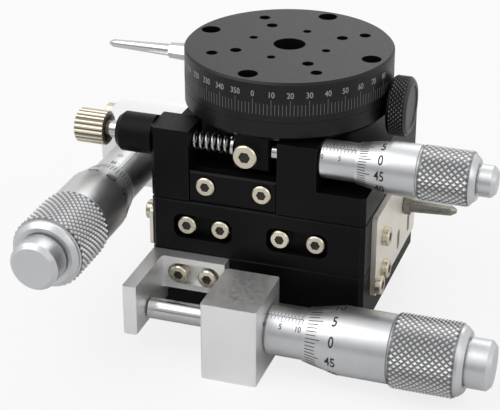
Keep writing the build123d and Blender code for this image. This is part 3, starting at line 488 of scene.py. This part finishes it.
def makeBarrelMarks(name, head, place):
    # reference line with a step every half millimetre, numbers at whole fives; it goes on under the thimble
    size, scale = head["size"], barrelScale
    barrel = size["barrel"]
    line = math.radians(head["line"])
    radius = barrel + inlay / 2
    halfWidth, chords = scale["halfWidth"] * mm, scale["chords"]
    work = bmesh.new()
    addMark(work, place, (-head["shown"] * mm, scale["hidden"] * mm), radius * mm, scale["line"] * mm, line)
    for n in range(int((head["shown"] - scale["first"] + scale["hidden"]) / scale["step"])):
        numbered = n % scale["numberEvery"] == 0
        at = (scale["first"] - head["shown"] + n * scale["step"]) * mm
        length = scale["long"] if numbered else scale["short"]
        side = 1 if n % 2 == 0 else -1
        for k in range(chords):
            angle = line + side * (k + 0.5) * length / chords / barrel
            addMark(work, place, (at - halfWidth, at + halfWidth), radius * mm, length / chords * mm, angle)
        if numbered:
            def bend(x, y):
                around = line + scale["numberAt"] / barrel - y / (barrel * mm)
                return place @ (Vector((at + x, 0, 0)) + radialAt(around) * (barrel + inlay) * mm)

            addText(work, str(n // 2), size["barrelNumber"] * mm, scale["narrow"], bend)
    finishPiece(work, name + "_barrel_scale", head["holder"], [inkBlack])


for name, head in heads.items():
    place = headPlace(name + "_thimble", head["outward"])
    makeThimble(name, head["size"], head["finish"], place)
    makeThimbleMarks(name, head, place)
    makeBarrelMarks(name, head, place)
print("micrometer heads made")


# clamp knob with its diamond knurl; drops are measured inward from the knurl's valleys

knob = {"length": 5.8, "radius": 8.7, "bore": 2.05, "recess": 3.75, "steps": 80, "pitch": 0.68, "depth": 0.36,
        "innerBand": 0.35, "innerDrop": 0.4, "outerBand": 0.75, "outerDrop": 0.75, "rim": 0.1,
        "rimDrop": 0.95, "dish": 0.35, "dishEdge": 6.4, "dishFloor": 6.1}


def makeClampKnob():
    place = headPlace("clamp_knob", Vector((1, 0, 0)))
    length, radius = knob["length"], knob["radius"]
    rows = knurlRows(knob["innerBand"] * mm, (length - knob["outerBand"]) * mm, radius * mm,
                     knob["pitch"] * mm)
    valley, dish = radius - knob["depth"], length - knob["dish"]
    back = [(0, knob["bore"]), (0, valley - knob["innerDrop"])]
    face = [(length - knob["rim"], valley - knob["outerDrop"]), (length, valley - knob["rimDrop"]),
            (length, knob["dishEdge"]), (dish, knob["dishFloor"]), (dish, 0), (knob["recess"], 0),
            (knob["recess"], knob["bore"])]
    outline = [(x * mm, r * mm) for x, r in back] + rows + [(x * mm, r * mm) for x, r in face]
    work = spinOutline(outline, knob["steps"])
    cutKnurl(work, rows, knob["steps"], knob["depth"] * mm)
    work.transform(place)
    bmesh.ops.recalc_face_normals(work, faces=work.faces)
    piece = finishPiece(work, "clamp_knob_knurled", "clamp_knob_body",
                        [knobBlack, knobGrip])
    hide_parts("clamp_knob")


makeClampKnob()
print("clamp knob made")


# preload knob, fluted over its whole length

fluted = {"length": 9.4, "radius": 5.0, "bore": 1.7, "boreDepth": 7.4, "flutes": 20, "perFlute": 6,
          "depth": 0.42, "bevel": 0.45, "boreShade": 0.1, "endShade": 1}


def makePreloadKnob():
    place = headPlace("preload_knob", Vector((-1, 0, 0)))
    length, radius, bevel = fluted["length"], fluted["radius"], fluted["bevel"]
    endRadius = radius - fluted["depth"] - bevel
    outline = [(0, fluted["bore"]), (0, endRadius), (bevel, radius), (length - bevel, radius),
               (length, endRadius), (length, 0), (fluted["boreDepth"], 0),
               (fluted["boreDepth"], fluted["bore"])]
    work = spinOutline([(x * mm, r * mm) for x, r in outline], fluted["flutes"] * fluted["perFlute"])
    valley = work.verts.layers.float.new("valley")
    for vert in work.verts:
        around = math.hypot(vert.co.y, vert.co.z)
        if around > radius * mm - onRadius:
            sunk = 0.5 - 0.5 * math.cos(fluted["flutes"] * math.atan2(vert.co.y, vert.co.z))
            vert.co.yz = vert.co.yz * (1 - sunk * fluted["depth"] * mm / around)
            # the flutes' hollows are marked for painted shade
            vert[valley] = sunk
    for face in work.faces:
        face.smooth = True
        centre = face.calc_center_median()
        inBore = math.hypot(centre.y, centre.z) < (fluted["bore"] + fluted["boreShade"]) * mm
        inner = centre.x < onRadius or inBore
        # the inner end face and the bore take the dark brass, as painted shade
        face.material_index = 1 if inner and centre.x < (length - fluted["endShade"]) * mm else 0
    creaseFolds(work, 35)
    work.transform(place)
    bmesh.ops.recalc_face_normals(work, faces=work.faces)
    piece = finishPiece(work, "preload_knob_fluted", "preload_knob_body", [brassGrip, brassShade])
    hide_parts("preload_knob")


makePreloadKnob()
print("preload knob made")


# painted shadow: dark hexagons down the hexagon sockets

socket = {"radius": 1.42, "depth": 0.45, "sides": 6}
sockets = {
    "pair_screws": {"body": "x_stage", "axis": (0, -1, 0),
                    "spots": [(-21.0, 31.8), (-10.9, 31.8), (6.8, 31.8), (17.3, 31.8)]},
    "x_anvil_screws": {"body": "x_stage", "axis": (0, -1, 0), "spots": [(-21.7, 18.5), (-13.0, 18.5)]},
    "y_anvil_screws": {"body": "x_stage", "axis": (-1, 0, 0), "spots": [(21.7, 32.1), (13.0, 32.1)]},
    "side_screws": {"body": "x_stage", "axis": (1, 0, 0),
                    "spots": [(-13.3, 29.5), (-13.0, 19.0), (-20.2, 17.4)]},
    "panel_screws": {"body": "y_stage", "axis": (0, -1, 0), "spots": [(-14.8, 45.5), (1.8, 45.5)]},
    "y_block_screws": {"body": "y_stage", "axis": (-1, 0, 0), "spots": [(10.0, 45.8), (0.0, 45.8)]},
    "arm_screw": {"body": "tangent", "axis": (0, -1, 0), "spots": [(-3.7, 55.5)], "radius": 1.72},
}


def makeSocketFloors(screws, piece):
    # a dark hexagon a little way down each socket, as painted shadow; spots are (across, height) on the face
    # of the heads
    axis = Vector(piece["axis"])
    low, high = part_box(screws)
    along = 0 if axis.x else 1
    face = (high if axis[along] > 0 else low)[along]
    side = up.cross(axis)
    work = bmesh.new()
    turn = Matrix((side, up, axis)).transposed().to_4x4()
    radius = piece.get("radius", socket["radius"]) * mm
    for across, height in piece["spots"]:
        spot = (face, across * mm, height * mm) if axis.x else (across * mm, face, height * mm)
        place = Matrix.Translation(Vector(spot) - axis * socket["depth"] * mm) @ turn
        bmesh.ops.create_circle(work, cap_ends=True, segments=socket["sides"], radius=radius,
                                matrix=place @ Matrix.Rotation(math.pi / 2, 4, "Z"))
    finishPiece(work, screws + "_sockets", piece["body"], [socketBlack])


for screws, piece in sockets.items():
    makeSocketFloors(screws, piece)
print("sockets made")


# degree scale round the table

tableScale = {"radius": 30.0, "divisions": 180, "numberEvery": 5, "zero": -92, "width": 0.15, "tickLow": 69.5,
              "tickShort": 3.2, "tickLong": 4.4, "numberAt": 75.4, "number": 2.35, "narrow": 0.85}


def makeTableScale():
    work = bmesh.new()
    numerals = bmesh.new()
    radius = tableScale["radius"] + inlay / 2
    step = 360 // tableScale["divisions"]
    for n in range(tableScale["divisions"]):
        numbered = n % tableScale["numberEvery"] == 0
        angle = math.radians(n * step + tableScale["zero"])
        length = tableScale["tickLong"] if numbered else tableScale["tickShort"]
        radial = Vector((math.cos(angle), math.sin(angle), 0))
        tangent = Vector((-math.sin(angle), math.cos(angle), 0))
        centre = radial * radius * mm + up * (tableScale["tickLow"] + length / 2) * mm
        shape = Matrix((radial * inlay * mm, tangent * tableScale["width"] * mm, up * length * mm))
        bmesh.ops.create_cube(work, size=1, matrix=Matrix.Translation(centre) @ shape.transposed().to_4x4())
        if numbered:
            def bend(x, y):
                turn = angle + x / (radius * mm)
                r = (radius + inlay / 2) * mm
                return Vector((math.cos(turn) * r, math.sin(turn) * r, tableScale["numberAt"] * mm + y))

            addText(numerals, str(n * step), tableScale["number"] * mm, tableScale["narrow"], bend)
    finishPiece(work, "table_degree_ticks", "table", [inkGrey])
    finishPiece(numerals, "table_degree_numerals", "table", [inkWhite])


makeTableScale()
print("table scale made")


# floor, world, lights and camera

ground = {"halfWidth": 3.0, "drop": 0.05, "glow": 0.8}  # metres, millimetres, share of plain white
room = {"bright": 0.95, "dim": 0.3, "diffuse": 0.5}  # the world in reflections, then on matt faces
lamps = {
    "keySoftbox": {"place": (-0.55, -0.45, 0.95), "target": (0, 0, 0.04), "size": 0.9, "power": 4.6},
    "fillSoftbox": {"place": (0.9, -0.35, 0.6), "target": (0, 0, 0.04), "size": 0.7, "power": 1.6},
    "backSoftbox": {"place": (0.05, 0.8, 0.8), "target": (0, 0, 0.05), "size": 0.8, "power": 2.2},
}


def makeFloor():
    work = bmesh.new()
    bmesh.ops.create_grid(work, x_segments=1, y_segments=1, size=ground["halfWidth"])
    bmesh.ops.translate(work, verts=work.verts, vec=(0, 0, -ground["drop"] * mm))
    data = bpy.data.meshes.new("floor")
    work.to_mesh(data)
    work.free()
    floor = bpy.data.objects.new("floor", data)
    scene.collection.objects.link(floor)
    material, tree, shader = newMaterial("paleFloor")
    shader.inputs["Base Color"].default_value = (0.9, 0.9, 0.9, 1)
    shader.inputs["Roughness"].default_value = 0.7
    shader.inputs["Specular IOR Level"].default_value = 0.1
    white = addNode(tree, "ShaderNodeEmission")
    white.inputs["Color"].default_value = (1, 1, 1, 1)
    path = addNode(tree, "ShaderNodeLightPath")
    seen = addNode(tree, "ShaderNodeMath", operation="MULTIPLY")
    seen.inputs[1].default_value = ground["glow"]
    mix = addNode(tree, "ShaderNodeMixShader")
    output = tree.nodes["Material Output"]
    tree.links.new(path.outputs["Is Camera Ray"], seen.inputs[0])
    tree.links.new(seen.outputs[0], mix.inputs["Fac"])
    tree.links.new(shader.outputs[0], mix.inputs[1])
    tree.links.new(white.outputs[0], mix.inputs[2])
    tree.links.new(mix.outputs[0], output.inputs["Surface"])
    data.materials.append(material)


def makeWorld():
    world = bpy.data.worlds.new("studio")
    world.use_nodes = True
    tree = world.node_tree
    background = tree.nodes["Background"]
    path = addNode(tree, "ShaderNodeLightPath")
    coords = addNode(tree, "ShaderNodeTexCoord")
    parts = addNode(tree, "ShaderNodeSeparateXYZ")
    tree.links.new(coords.outputs["Generated"], parts.inputs["Vector"])
    # reflections see a dim room behind the camera and a bright one above and behind the part
    towards = rangeOf(tree, parts.outputs["Y"], 1, 0, -0.75, -0.1)
    level = rangeOf(tree, parts.outputs["Z"], 1, 0, 0.12, 0.6)
    dim = addNode(tree, "ShaderNodeMath", operation="MULTIPLY")
    tree.links.new(towards, dim.inputs[0])
    tree.links.new(level, dim.inputs[1])
    glossy = rangeOf(tree, dim.outputs[0], room["bright"], room["dim"], 0, 1)
    shown = addNode(tree, "ShaderNodeMath", operation="MAXIMUM")
    tree.links.new(path.outputs["Is Camera Ray"], shown.inputs[0])
    tree.links.new(path.outputs["Is Transmission Ray"], shown.inputs[1])
    reflected = addNode(tree, "ShaderNodeMix")
    reflected.inputs[2].default_value = room["diffuse"]
    tree.links.new(path.outputs["Is Glossy Ray"], reflected.inputs[0])
    tree.links.new(glossy, reflected.inputs[3])
    final = addNode(tree, "ShaderNodeMix")
    final.inputs[3].default_value = 1.0
    tree.links.new(shown.outputs[0], final.inputs[0])
    tree.links.new(reflected.outputs[0], final.inputs[2])
    tree.links.new(final.outputs[0], background.inputs["Strength"])
    background.inputs["Color"].default_value = (1, 1, 1, 1)
    scene.world = world


def makeLamp(name, softbox):
    data = bpy.data.lights.new(name, "AREA")
    data.size = softbox["size"]
    data.energy = softbox["power"]
    lamp = bpy.data.objects.new(name, data)
    scene.collection.objects.link(lamp)
    lamp.location = softbox["place"]
    towards = Vector(softbox["target"]) - Vector(softbox["place"])
    lamp.rotation_euler = towards.to_track_quat("-Z", "Y").to_euler()


makeFloor()
makeWorld()
for name, softbox in lamps.items():
    makeLamp(name, softbox)

# millimetres, but for the direction
view = {"place": (130.46, -420.12, 246.19), "forward": (-0.28740, 0.84831, -0.44471), "lens": 118.5,
        "sensor": 36, "near": 10}
camera = bpy.data.objects.new("camera", bpy.data.cameras.new("camera"))
scene.collection.objects.link(camera)
camera.data.sensor_width = view["sensor"]
camera.data.lens = view["lens"]
camera.data.clip_start = view["near"] * mm
camera.location = Vector(view["place"]) * mm
camera.rotation_euler = Vector(view["forward"]).to_track_quat("-Z", "Y").to_euler()
scene.camera = camera
scene.view_settings.view_transform = "Standard"
print("stage set")
